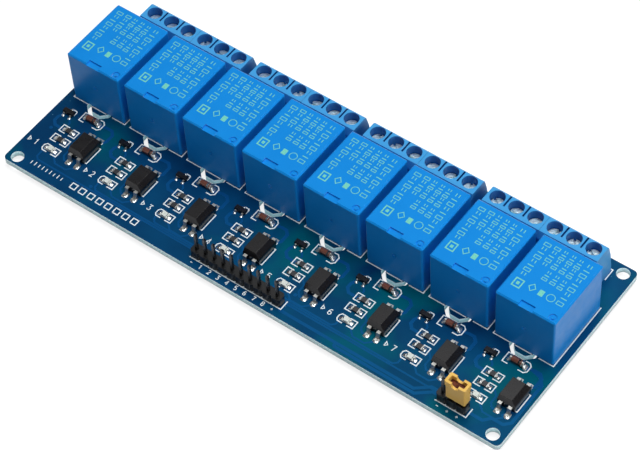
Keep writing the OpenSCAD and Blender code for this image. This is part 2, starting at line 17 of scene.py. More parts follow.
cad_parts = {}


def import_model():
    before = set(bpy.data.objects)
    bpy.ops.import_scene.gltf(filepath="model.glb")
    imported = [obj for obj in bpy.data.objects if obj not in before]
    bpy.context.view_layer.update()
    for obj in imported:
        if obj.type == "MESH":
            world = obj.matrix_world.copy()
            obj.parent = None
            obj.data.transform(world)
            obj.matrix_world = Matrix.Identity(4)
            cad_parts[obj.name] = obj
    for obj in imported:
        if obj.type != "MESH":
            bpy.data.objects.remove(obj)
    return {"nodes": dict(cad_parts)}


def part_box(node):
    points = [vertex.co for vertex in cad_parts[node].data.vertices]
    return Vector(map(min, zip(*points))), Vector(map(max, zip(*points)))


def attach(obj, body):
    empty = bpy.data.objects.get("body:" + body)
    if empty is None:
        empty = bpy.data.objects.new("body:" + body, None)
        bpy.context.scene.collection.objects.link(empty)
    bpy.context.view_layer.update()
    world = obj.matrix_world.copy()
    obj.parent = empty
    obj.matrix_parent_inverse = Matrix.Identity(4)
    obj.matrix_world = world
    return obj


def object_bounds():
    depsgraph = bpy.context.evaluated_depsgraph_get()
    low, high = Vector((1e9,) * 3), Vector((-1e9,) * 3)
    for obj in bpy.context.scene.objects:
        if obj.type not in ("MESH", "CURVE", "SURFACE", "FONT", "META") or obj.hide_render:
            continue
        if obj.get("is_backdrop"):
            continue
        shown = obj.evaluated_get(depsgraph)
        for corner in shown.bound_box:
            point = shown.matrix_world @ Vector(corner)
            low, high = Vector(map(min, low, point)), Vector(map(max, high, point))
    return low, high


LOG = logging.getLogger("relay_module_board")
MM = 0.001
CHANNELS = 8
MODULE = "module"

Point = tuple[float, float]
Colour = tuple[float, float, float, float]
Height = Callable[[float, float], float]
Tree = bpy.types.NodeTree
Socket = bpy.types.NodeSocket
Sockets = dict[str | int, object]
Layers = list[tuple[Socket, str]]


# ---------------------------------------------------------------- colours and nodes


def linear(colour: str) -> Colour:
    """Turn an sRGB hex colour into linear light.

    Args:
        colour: six hex digits after a hash sign.

    Returns:
        Red, green, blue and a full alpha, as shader sockets take them.
    """
    shares = [int(colour[k : k + 2], 16) / 255 for k in (1, 3, 5)]
    red, green, blue = (s / 12.92 if s <= 0.04045 else ((s + 0.055) / 1.055) ** 2.4 for s in shares)
    return (red, green, blue, 1.0)


def per_mm(size: float) -> float:
    """Return the texture scale that repeats once in this many millimetres of object space."""
    return 1 / (size * MM)


def add_node(tree: Tree, kind: str, inputs: Sockets | None = None, **settings) -> bpy.types.Node:
    """Add a shader node, set its properties, and set or link its input sockets.

    Args:
        tree: node tree of a material or of the world.
        kind: the node's type without the words ShaderNode before it, such as TexNoise.
        inputs: socket name or number, with a value to set or an output socket to link.
        settings: properties of the node itself.

    Returns:
        The new node.
    """
    node = tree.nodes.new(f"ShaderNode{kind}")
    for name, value in settings.items():
        setattr(node, name, value)
    for key, value in (inputs or {}).items():
        if isinstance(value, Socket):
            tree.links.new(value, node.inputs[key])
        else:
            node.inputs[key].default_value = value
    return node


# ---------------------------------------------------------------- finishes


@dataclass(frozen=True)
class Finish:
    """A finish that is the same stuff all through: a body colour, a gloss, and what lies over them.

    Attributes:
        name: common name of the material.
        colour: sRGB hex colour of its body.
        roughness: micro-roughness of its surface, from 0, polished, to 1, chalky.
    """

    name: str
    colour: str
    roughness: float = 0.4

    def make(self) -> bpy.types.Material:
        """Make the finish as a node material.

        Returns:
            The new material.
        """
        material = bpy.data.materials.new(self.name)
        material.use_nodes = True
        tree = material.node_tree
        tree.nodes.clear()
        layers, sockets = self.shade(tree, add_node(tree, "TexCoord").outputs["Object"])
        body = linear(self.colour)
        for share, colour in layers:
            body = add_node(tree, "Mix", {0: share, 6: body, 7: linear(colour)}, data_type="RGBA").outputs[2]
        shader = add_node(tree, "BsdfPrincipled", {"Base Color": body, "Roughness": self.roughness} | sockets)
        add_node(tree, "OutputMaterial", {"Surface": shader.outputs["BSDF"]})
        return material

    def shade(self, tree: Tree, place: Socket) -> tuple[Layers, Sockets]:
        """Make the patterns of the finish.

        Args:
            tree: the material's node tree.
            place: output socket with the position in the part's frame, in metres.

        Returns:
            The colours laid over the body in turn, each after the socket with its share, and what
            the shader's input sockets take.
        """
        raise NotImplementedError


@dataclass(frozen=True)
class MouldedPlastic(Finish):
    """Injection-moulded thermoplastic: an even body colour under a fine skin that scatters the gloss.

    Attributes:
        drift: second colour that the body drifts to over a few millimetres.
        sheen: tint of the gloss, coloured where light returns from just under a translucent skin.
        ior: index of refraction, about 1.5 to 1.6 for PBT, nylon and epoxy.
        grain: size of the mould's skin texture, drawn coarser than real so that it shows, in mm.
        relief: height of that texture, in mm.
        spread: how far the roughness wanders either way.
        level: strength of the gloss against that of a clean polished skin, which is 0.5.
        edge: radius that the mould leaves on each edge, in mm.
        rubbed: colour laid on an edge in patches, partly wear from handling and partly a painted highlight where
            the edge catches light.
        recess: colour of painted shade that the body deepens to where walls stand close; empty for the body colour.
    """

    drift: str = "#808080"
    sheen: str = "#FFFFFF"
    ior: float = 1.5
    grain: float = 0.35
    relief: float = 0.004
    spread: float = 0.06
    level: float = 0.5
    edge: float = 0.1
    rubbed: str = "#D0E8F4"
    recess: str = ""

    def shade(self, tree: Tree, place: Socket) -> tuple[Layers, Sockets]:
        """Drift the colour slowly, paint shade into recesses, roughen in patches, round the edges and lighten them
        in patches as wear and painted highlight, and add the mould's skin.

        Args:
            tree: the material's node tree.
            place: output socket with the position.

        Returns:
            The layers of colour and the shader's inputs.
        """
        flow = add_node(tree, "TexNoise", {"Vector": place, "Scale": per_mm(7), "Detail": 2.0})
        layers = [(flow.outputs["Fac"], self.drift)]
        # Painted shade: the colour deepens where ambient occlusion finds walls close by, as in holes.
        if self.recess:
            sky = add_node(tree, "AmbientOcclusion", {"Distance": 5 * MM}, samples=6).outputs["AO"]
            shut_in = {"Value": sky, "From Min": 0.85, "From Max": 0.4, "To Max": 0.9}
            layers.append((add_node(tree, "MapRange", shut_in).outputs[0], self.recess))
        cloud = {"Vector": place, "Scale": per_mm(2.2), "Detail": 4.0}
        patches = add_node(tree, "TexNoise", cloud).outputs["Fac"]
        low, high = self.roughness - self.spread, self.roughness + self.spread
        wander = {"Value": patches, "From Min": 0.3, "From Max": 0.7, "To Min": low, "To Max": high}
        rounded = add_node(tree, "Bevel", {"Radius": self.edge * MM}, samples=4).outputs["Normal"]
        # Painted highlight and wear: edges are lightened in patches, partly as wear from handling and partly as
        # painted highlight where they catch light.
        face = add_node(tree, "NewGeometry").outputs["True Normal"]
        turn = add_node(tree, "VectorMath", {0: rounded, 1: face}, operation="DOT_PRODUCT").outputs["Value"]
        edge_band = add_node(tree, "MapRange", {"Value": turn, "From Min": 0.97, "From Max": 0.8, "To Max": 0.5})
        edge_patches = add_node(tree, "MapRange", {"Value": patches, "From Min": 0.5, "From Max": 0.72})
        edge_mark = add_node(tree, "Math", {0: edge_band.outputs[0], 1: edge_patches.outputs[0]}, operation="MULTIPLY")
        layers.append((edge_mark.outputs[0], self.rubbed))
        skin = add_node(tree, "TexNoise", {"Vector": place, "Scale": per_mm(self.grain), "Detail": 3.0})
        height = {"Height": skin.outputs["Fac"], "Strength": 0.5, "Distance": self.relief * MM}
        return layers, {
            "Roughness": add_node(tree, "MapRange", wander).outputs[0],
            "Normal": add_node(tree, "Bump", height | {"Normal": rounded}).outputs[0],
            "IOR": self.ior,
            "Specular IOR Level": self.level,
            "Specular Tint": linear(self.sheen),
        }


@dataclass(frozen=True)
class SolderMask(Finish):
    """Glossy liquid solder mask over glass-epoxy laminate, which shows bare where the board is cut.

    Attributes:
        deep: colour of the mask in its thicker, darker patches.
        bare: colour where no copper lies under it and the laminate's green comes through.
        dust: colour of fine specks caught in the mask.
        laminate: colour of the cut laminate at the rim, holes and slots.
        weave: colour of the glass fibres at the cut.
        sheen: tint of the gloss, coloured because light also returns from under the mask.
        through: colour of a painted glow that the cut faces emit as their own light, standing for light carried in
            the laminate from elsewhere.
    """

    deep: str = "#06335F"
    bare: str = "#005468"
    dust: str = "#6FB4CC"
    laminate: str = "#E4F8FB"
    weave: str = "#D4ECF2"
    sheen: str = "#40E4FF"
    through: str = "#AEE0EA"

    def shade(self, tree: Tree, place: Socket) -> tuple[Layers, Sockets]:
        """Cloud and speck the mask, and swap to translucent laminate with a painted glow where the surface stands
        upright.

        Args:
            tree: the material's node tree.
            place: output socket with the position.

        Returns:
            The layers of colour and the shader's inputs.
        """
        layers = []
        for size, start, end, colour in ((14, 0.35, 0.65, self.deep), (22, 0.52, 0.66, self.bare)):
            cloud = add_node(tree, "TexNoise", {"Vector": place, "Scale": per_mm(size), "Detail": 3.0})
            part = {"Value": cloud.outputs["Fac"], "From Min": start, "From Max": end}
            layers.append((add_node(tree, "MapRange", part).outputs[0], colour))
        dust = add_node(tree, "TexVoronoi", {"Vector": place, "Scale": per_mm(3.5)}).outputs["Distance"]
        speck = add_node(tree, "MapRange", {"Value": dust, "From Min": 0.045, "From Max": 0.02, "To Max": 0.6})
        normal = add_node(tree, "NewGeometry").outputs["Normal"]
        facing = add_node(tree, "SeparateXYZ", {"Vector": normal}).outputs["Z"]
        level = add_node(tree, "Math", {0: facing}, operation="ABSOLUTE")
        upright = add_node(tree, "Math", {0: level.outputs[0], 1: 0.7}, operation="LESS_THAN").outputs[0]
        threads = {"Vector": place, "Scale": per_mm(6), "Distortion": 1.5, "Detail": 2.0}
        fibres = add_node(tree, "TexWave", threads, bands_direction="Z").outputs["Fac"]
        woven = add_node(tree, "Math", {0: upright, 1: fibres}, operation="MULTIPLY").outputs[0]
        layers += [(speck.outputs[0], self.dust), (upright, self.laminate), (woven, self.weave)]
        # Painted glow: the upright cut faces emit a little light of their own.
        glow = add_node(tree, "Math", {0: upright, 1: 0.15}, operation="MULTIPLY")
        gloss = add_node(tree, "MapRange", {"Value": upright, "To Min": self.roughness, "To Max": 0.75})
        peel = add_node(tree, "TexNoise", {"Vector": place, "Scale": per_mm(0.9), "Detail": 4.0})
        height = {"Height": peel.outputs["Fac"], "Strength": 0.45, "Distance": 0.006 * MM}
        return layers, {
            "Roughness": gloss.outputs[0],
            "Normal": add_node(tree, "Bump", height).outputs[0],
            "Subsurface Weight": upright,
            "Subsurface Radius": (1.0, 1.0, 1.0),
            "Subsurface Scale": 3 * MM,
            "Emission Strength": glow.outputs[0],
            "Emission Color": linear(self.through),
            "IOR": 1.5,
            "Specular IOR Level": 0.35,
            "Specular Tint": linear(self.sheen),
        }


@dataclass(frozen=True)
class MaskedCopper(Finish):
    """Solder mask over copper: the metal below shows through as a lighter, clearer blue.

    Attributes:
        deep: colour where the mask lies thicker.
        sheen: tint of the gloss, as on the mask beside it.
    """

    deep: str = "#084078"
    sheen: str = "#40E4FF"

    def shade(self, tree: Tree, place: Socket) -> tuple[Layers, Sockets]:
        """Vary the depth of the mask along the track.

        Args:
            tree: the material's node tree.
            place: output socket with the position.

        Returns:
            The layers of colour and the shader's inputs.
        """
        cloud = add_node(tree, "TexNoise", {"Vector": place, "Scale": per_mm(5), "Detail": 3.0})
        skin = add_node(tree, "TexNoise", {"Vector": place, "Scale": per_mm(0.7), "Detail": 3.0})
        height = {"Height": skin.outputs["Fac"], "Strength": 0.4, "Distance": 0.006 * MM}
        return [(cloud.outputs["Fac"], self.deep)], {
            "Normal": add_node(tree, "Bump", height).outputs[0],
            "IOR": 1.5,
            "Specular Tint": linear(self.sheen),
        }


@dataclass(frozen=True)
class PrintedInk(Finish):
    """Screen or pad printed ink: matt, and thinner in specks where the screen's mesh let less through.

    Attributes:
        thin: colour where the ink is thinnest and the ground shows.
    """

    thin: str = "#A0A8B0"

    def shade(self, tree: Tree, place: Socket) -> tuple[Layers, Sockets]:
        """Speckle the ink at the scale of the screen's mesh.

        Args:
            tree: the material's node tree.
            place: output socket with the position.

        Returns:
            The layers of colour and the shader's inputs.
        """
        mesh = {"Vector": place, "Scale": per_mm(0.3), "Detail": 2.0}
        specks = add_node(tree, "TexNoise", mesh).outputs["Fac"]
        share = add_node(tree, "MapRange", {"Value": specks, "From Min": 0.5, "From Max": 0.75})
        bump = add_node(tree, "Bump", {"Height": specks, "Strength": 0.3, "Distance": 0.004 * MM})
        return [(share.outputs[0], self.thin)], {"Normal": bump.outputs[0]}


@dataclass(frozen=True)
class PlatedMetal(Finish):
    """Plated or soldered metal, with the uneven shine of a thin plating or of frozen solder.

    Attributes:
        tarnish: colour of its duller patches.
        patch: size of those patches, in mm.
        lump: size of the unevenness, in mm.
        relief: height of the unevenness, in mm.
    """

    tarnish: str = "#8A8A88"
    patch: float = 1.2
    lump: float = 0.4
    relief: float = 0.01

    def shade(self, tree: Tree, place: Socket) -> tuple[Layers, Sockets]:
        """Tarnish the metal in patches and make its surface slightly uneven.

        Args:
            tree: the material's node tree.
            place: output socket with the position.

        Returns:
            The layers of colour and the shader's inputs.
        """
        dull = add_node(tree, "TexNoise", {"Vector": place, "Scale": per_mm(self.patch), "Detail": 4.0})
        faded = {"Value": dull.outputs["Fac"], "From Min": 0.42, "From Max": 0.7}
        share = add_node(tree, "MapRange", faded).outputs[0]
        rough = {"Value": share, "To Min": self.roughness, "To Max": min(1.0, self.roughness + 0.2)}
        lumps = add_node(tree, "TexNoise", {"Vector": place, "Scale": per_mm(self.lump), "Detail": 2.0})
        bump = {"Height": lumps.outputs["Fac"], "Strength": 0.6, "Distance": self.relief * MM}
        return [(share, self.tarnish)], {
            "Roughness": add_node(tree, "MapRange", rough).outputs[0],
            "Normal": add_node(tree, "Bump", bump).outputs[0],
            "Metallic": 1.0,
        }


@dataclass(frozen=True)
class ClearBody(Finish):
    """Glass or cast clear resin with a tint, and a faint swirl inside.

    Attributes:
        swirl: colour of the swirl.
        clearness: share of the light that passes.
        ior: index of refraction.
    """

    swirl: str = "#FFFFFF"
    clearness: float = 0.6
    ior: float = 1.52

    def shade(self, tree: Tree, place: Socket) -> tuple[Layers, Sockets]:
        """Swirl the tint a little.

        Args:
            tree: the material's node tree.
            place: output socket with the position.

        Returns:
            The layers of colour and the shader's inputs.
        """
        flow = {"Vector": place, "Scale": per_mm(0.8), "Detail": 2.0, "Distortion": 1.0}
        swirl = add_node(tree, "TexNoise", flow).outputs["Fac"]
        return [(swirl, self.swirl)], {"Transmission Weight": self.clearness, "IOR": self.ior}


@dataclass(frozen=True)
class WoundWire(Finish):
    """Enamelled wire wound in close turns round an upright spool, over the dark between them.

    Attributes:
        wire: colour of the wire.
        turn: distance from turn to turn, drawn coarser than the real wire so that it shows, in mm.
    """

    wire: str = "#B4571F"
    turn: float = 0.16

    def shade(self, tree: Tree, place: Socket) -> tuple[Layers, Sockets]:
        """Draw the turns as bands up the spool, in colour and in height.

        Args:
            tree: the material's node tree.
            place: output socket with the position.

        Returns:
            The layers of colour and the shader's inputs.
        """
        bands = {"Vector": place, "Scale": per_mm(self.turn) / 20, "Distortion": 0.4, "Detail": 1.0}
        turns = add_node(tree, "TexWave", bands, bands_direction="Z").outputs["Fac"]
        bump = add_node(tree, "Bump", {"Height": turns, "Strength": 0.8, "Distance": 0.05 * MM})
        return [(turns, self.wire)], {"Normal": bump.outputs[0], "Coat Weight": 0.5}


class Stuff(Enum):
    """Every finish of the board, by the real material that it stands for."""

    # Blue liquid mask, cured glossy: clouds of blue and teal, with a pale cut edge.
    SOLDER_MASK = SolderMask("solder_mask_on_glass_epoxy", "#06406E", 0.3)
    # The same mask over copper: a step lighter and bluer.
    COPPER_TRACK = MaskedCopper("solder_mask_on_copper", "#0A4C88", 0.3)
    # White epoxy legend ink, screened and baked: matt, with pinholes.
    LEGEND_INK = PrintedInk("white_epoxy_legend_ink", "#F2FAFD", 0.65, thin="#CDE2EC")
    # Pale green ink pad-printed on the relay covers.
    RELAY_INK = PrintedInk("pale_green_pad_ink", "#76D6BE", 0.6, thin="#50BCCC")
    # Tin-lead solder, frozen bright and slightly lumpy.
    SOLDER = PlatedMetal("tin_solder", "#E2E5E4", 0.28, tarnish="#B4B9B9", patch=0.9, lump=0.5, relief=0.03)
    # Matt tin plating on stamped copper leads.
    TINNED_COPPER = PlatedMetal("tinned_copper", "#D6D6D2", 0.3, tarnish="#A2A29C", patch=0.7, lump=0.25)
    # Blue PBT, injection moulded in a polished tool: even colour, soft gloss.
    RELAY_PBT = MouldedPlastic(
        "blue_pbt_relay_cover", "#1488DF", 0.36, "#1A92EA", "#50B8FF", ior=1.52, relief=0.003, level=0.25
    )
    # Darker blue PBT of the relays' base plates.
    BASE_PBT = MouldedPlastic("dark_blue_pbt_base", "#12458C", 0.5, drift="#17509B", ior=1.55)
    # Natural nylon of the coil bobbins.
    BOBBIN_NYLON = MouldedPlastic("natural_nylon", "#E6E0CC", 0.45, drift="#D8D0B8", ior=1.53)
    # Copper wire under a clear red-brown enamel.
    COIL_WIRE = WoundWire("enamelled_copper_wire", "#3A1608", 0.3)
    # Bright-plated soft iron of core, yoke and armature.
    SOFT_IRON = PlatedMetal("nickel_plated_soft_iron", "#B9B6AE", 0.35, tarnish="#8D897F", patch=2.0)
    # Rolled phosphor bronze of the contact springs.
    SPRING_BRONZE = PlatedMetal("phosphor_bronze_strip", "#C99556", 0.32, tarnish="#9A6E3C", patch=1.5)
    # Sky-blue nylon of the terminal housings, a little duller and paler than the relays, with painted shade
    # deepening the colour in its holes and recesses.
    TERMINAL_NYLON = MouldedPlastic(
        "sky_blue_nylon", "#3FA0E2", 0.42, "#52AAE6", "#60BCF4", 1.53, relief=0.006, level=0.28, recess="#1562B4"
    )
    # Zinc-plated steel screws, passivated clear and knurled by the driver.
    ZINC_STEEL = PlatedMetal("zinc_plated_steel", "#EFFFFF", 0.34, "#B8DCE4", patch=0.4, lump=0.5, relief=0.12)
    # Nickel-plated brass of the wire clamps.
    PLATED_BRASS = PlatedMetal("nickel_plated_brass", "#CDBF9C", 0.3, tarnish="#9D8C62")
    # Glass-filled epoxy of the chip packages: charcoal, satin, with grey edges that are partly wear and partly
    # painted highlight.
    BLACK_EPOXY = MouldedPlastic(
        "black_moulding_epoxy", "#070608", 0.28, "#131114", grain=0.2, relief=0.005, spread=0.03, rubbed="#5A5A5E"
    )
    # Black nylon of the pin headers, with grey edges that are partly wear and partly painted highlight.
    BLACK_NYLON = MouldedPlastic("black_nylon", "#090A0B", 0.32, drift="#101113", spread=0.04, rubbed="#3C3E42")
    # Drawn lead-glass sleeve of the diodes, tinted orange-brown.
    DIODE_GLASS = ClearBody("orange_brown_diode_glass", "#9C6452", 0.15, swirl="#74443A", clearness=0.3)
    # Black cathode band fired on the glass.
    BAND_ENAMEL = MouldedPlastic("black_fired_enamel", "#141112", 0.3, drift="#1C1718")
    # Glazed resistive film on a ceramic chip.
    CHIP_GLAZE = MouldedPlastic("glazed_resistor_film", "#2A2C30", 0.25, drift="#3A3C40", grain=0.15)
    # White laminate carrier of the indicator LEDs.
    LED_CARRIER = MouldedPlastic("white_laminate", "#E8E8E0", 0.5, drift="#D8DCD4")
    # Clear cast epoxy lens of the LEDs.
    LED_RESIN = ClearBody("clear_cast_epoxy", "#FBFFFA", 0.15, swirl="#ECF6EC", clearness=0.2, ior=1.5)
    # Phosphor bronze of the jumper's contact clip, darkened as painted shade since it sits deep inside the cap.
    CLIP_BRONZE = PlatedMetal("bronze_darkened_as_painted_shade", "#6E4030", 0.4, tarnish="#3A211A", patch=0.8)
    # Header pins, plated dark; the bright tips of the real pins are not drawn.
    HEADER_PIN = PlatedMetal("dark_plated_bronze", "#4A4B4E", 0.26, tarnish="#2E2F32", patch=1.5)
    # Amber-yellow nylon of the jumper cap.
    JUMPER_NYLON = MouldedPlastic("amber_nylon", "#EDBA55", 0.45, drift="#F4CA70", sheen="#FFE0A0", ior=1.53)

    def material(self) -> bpy.types.Material:
        """Return this finish's material, made on first use."""
        return bpy.data.materials.get(self.value.name) or self.value.make()


# ---------------------------------------------------------------- mesh drafting


class Draft:
    """Gathers closed thin solids in millimetres and turns them into one object in metres.

    Attributes:
        points: corners of what was drafted.
        faces: numbers of the corners round each face.
        draw_in: how far a mound's corners are drawn in, as a share.
        rim: height of a mound's outer edge.
    """

    draw_in: float = 0.28
    rim: float = 0.02

    def __init__(self) -> None:
        """Start an empty draft."""
        self.points: list[tuple[float, float, float]] = []
        self.faces: list[tuple[int, ...]] = []

    def prism(self, outline: Sequence[Point], low: float, high: float) -> None:
        """Add an upright prism.

        Args:
            outline: corners in plan, anticlockwise.
            low: height of its underside.
            high: height of its top.
        """
        first, count = len(self.points), len(outline)
        self.points += [(x, y, low) for x, y in outline] + [(x, y, high) for x, y in outline]
        self.faces.append(tuple(first + k for k in reversed(range(count))))
        self.faces.append(tuple(first + count + k for k in range(count)))
        for k in range(count):
            after = (k + 1) % count
            self.faces.append((first + k, first + after, first + count + after, first + count + k))

    def disc(self, centre: Point, radius: float, low: float, high: float, steps: int = 20) -> None:
        """Add an upright round plate."""
        self.prism(arc(centre, radius, 0, 360 - 360 / steps, steps - 1), low, high)

    def stroke(self, path: Sequence[Point], width: float, low: float, high: float, closed: bool = False) -> None:
        """Add a flat line of even width with mitred corners.

        Args:
            path: the line's middle, point by point.
            width: its full width.
            low: height of its underside.
            high: height of its top.
            closed: whether the last point joins the first.
        """
        count = len(path)
        first = len(self.points)
        for k, (x, y) in enumerate(path):
            before = path[k - 1] if k or closed else None
            after = path[(k + 1) % count] if k < count - 1 or closed else None
            side = mitre(before, (x, y), after) * (width / 2)
            for sign, height in ((1, low), (-1, low), (-1, high), (1, high)):
                self.points.append((x + sign * side.x, y + sign * side.y, height))
        for k in range(count if closed else count - 1):
            here, there = first + 4 * k, first + 4 * ((k + 1) % count)
            for a in range(4):
                b = (a + 1) % 4
                self.faces.append((here + b, here + a, there + a, there + b))
        if not closed:
            last = first + 4 * (count - 1)
            self.faces.append((first, first + 1, first + 2, first + 3))
            self.faces.append((last + 3, last + 2, last + 1, last))

    def mound(self, low_corner: Point, high_corner: Point, height: Height, base: float, steps: int = 8) -> None:
        """Add a lump whose top follows a height function over a rectangle with rounded corners.

        Args:
            low_corner: lowest x and y of the rectangle.
            high_corner: highest x and y.
            height: function of two shares from 0 to 1 that gives the height over the base.
            base: height of the flat underside.
            steps: cells along each side.
        """
        first = len(self.points)
        (x0, y0), (x1, y1) = low_corner, high_corner
        rows = steps + 1
        for level in (0, 1):
            for j in range(rows):
                for i in range(rows):
                    u, v = i / steps, j / steps
                    # Draws the grid's corners in, for a rounded outline.
                    a, b = 2 * u - 1, 2 * v - 1
                    bend_x = a * math.sqrt(1 - self.draw_in * b * b)
                    bend_y = b * math.sqrt(1 - self.draw_in * a * a)
                    x = (x0 + x1) / 2 + bend_x * (x1 - x0) / 2
                    y = (y0 + y1) / 2 + bend_y * (y1 - y0) / 2
                    outer = i in (0, steps) or j in (0, steps)
                    z = base + (self.rim if outer else height(u, v)) * level
                    self.points.append((x, y, z))
        area = rows * rows
        for j in range(steps):
            for i in range(steps):
                a = first + j * rows + i
                self.faces.append((a + rows, a + rows + 1, a + 1, a))
                self.faces.append((a + area, a + area + 1, a + area + rows + 1, a + area + rows))
        ring = [first + i for i in range(steps)]
        ring += [first + steps + j * rows for j in range(steps)]
        ring += [first + steps * rows + steps - i for i in range(steps)]
        ring += [first + (steps - j) * rows for j in range(steps)]
        for k, a in enumerate(ring):
            b = ring[(k + 1) % len(ring)]
            self.faces.append((a, b, b + area, a + area))

    def piece(self, name: str, stuff: Stuff, slot: str, smooth: bool = False) -> bpy.types.Object:
        """Turn what was drafted into one object that rides with the module.

        Args:
            name: the object's name.
            stuff: its finish.
            slot: name of a material slot; not used.
            smooth: whether its faces are shaded round.

        Returns:
            The new object.
        """
        mesh = bpy.data.meshes.new(name)
        mesh.from_pydata([[c * MM for c in p] for p in self.points], [], self.faces)
        mesh.update()
        mesh.materials.append(stuff.material())
        mesh.polygons.foreach_set("use_smooth", [smooth] * len(mesh.polygons))
        piece = bpy.data.objects.new(name, mesh)
        bpy.context.scene.collection.objects.link(piece)
        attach(piece, MODULE)
        LOG.info("%s: %d faces", name, len(mesh.polygons))
        return piece


def mitre(before: Point | None, here: Point, after: Point | None) -> Vector:
    """Return the sideways step, for a half width of one, at a corner of a line.

    Args:
        before: the point before, or None at the line's start.
        here: the corner.
        after: the point after, or None at the line's end.

    Returns:
        The step to the line's left, lengthened so that both runs keep their width.
    """
    runs = []
    if before is not None:
        runs.append(Vector((here[0] - before[0], here[1] - before[1])).normalized())
    if after is not None:
        runs.append(Vector((after[0] - here[0], after[1] - here[1])).normalized())
    sides = [Vector((-run.y, run.x)) for run in runs]
    middle = sum(sides, Vector((0.0, 0.0))).normalized()
    return middle / max(0.4, middle.dot(sides[0]))


def arc(centre: Point, radius: float, start: float, end: float, steps: int = 6) -> list[Point]:
    """Return points along an arc, angles in degrees."""
    angles = [math.radians(start + (end - start) * k / steps) for k in range(steps + 1)]
    return [(centre[0] + radius * math.cos(a), centre[1] + radius * math.sin(a)) for a in angles]


def shifted(path: Iterable[Point], dx: float, dy: float = 0.0, scale: float = 1.0) -> list[Point]:
    """Return a path scaled about its origin and then moved."""
    return [(x * scale + dx, y * scale + dy) for x, y in path]


def node_box(node: str) -> tuple[Vector, Vector]:
    """Return the lowest and highest corner of a construction solid, in millimetres."""
    low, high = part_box(node)
    return low / MM, high / MM


def dress(nodes: dict[str, bpy.types.Object], names: Iterable[str], stuff: Stuff) -> None:
    """Give construction solids a finish.

    Args:
        nodes: every construction solid by name.
        names: the ones to dress.
        stuff: their finish.
    """
    for name in names:
        mesh = nodes[name].data
        mesh.materials.clear()
        mesh.materials.append(stuff.material())
        LOG.info("%s: %s", name, stuff.value.name)


# ---------------------------------------------------------------- the board


@dataclass
class Places:
    """Where the construction puts what the print and the tracks refer to, in millimetres.

    Attributes:
        channels: middle of each relay along the row.
        top: height of the board's upper face.
        under: height of its lower face.
        input_pins: middle of each pin of the input header along the row.
        supply_pins: the same for the supply header.
        header_y: middle of both headers across the board.
    """

    channels: list[float]
    top: float
    under: float
    input_pins: list[float]
    supply_pins: list[float]
    header_y: float

    @classmethod
    def from_frame(cls) -> "Places":
        """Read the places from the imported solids.

        Returns:
            The places, in millimetres.
        """
        covers = [node_box(f"relay_cover_{n}") for n in range(1, CHANNELS + 1)]
        board_low, board_high = node_box("circuit_board")
        rows = []
        for name, count in (("input_header_housing", 10), ("supply_header_housing", 3)):
            low, high = node_box(name)
            pitch = (high.x - low.x) / count
            rows.append([low.x + pitch * (k + 0.5) for k in range(count)])
        low, high = node_box("input_header_housing")
        return cls(
            [(low.x + high.x) / 2 for low, high in covers],
            board_high.z,
            board_low.z,
            rows[0],
            rows[1],
            (low.y + high.y) / 2,
        )


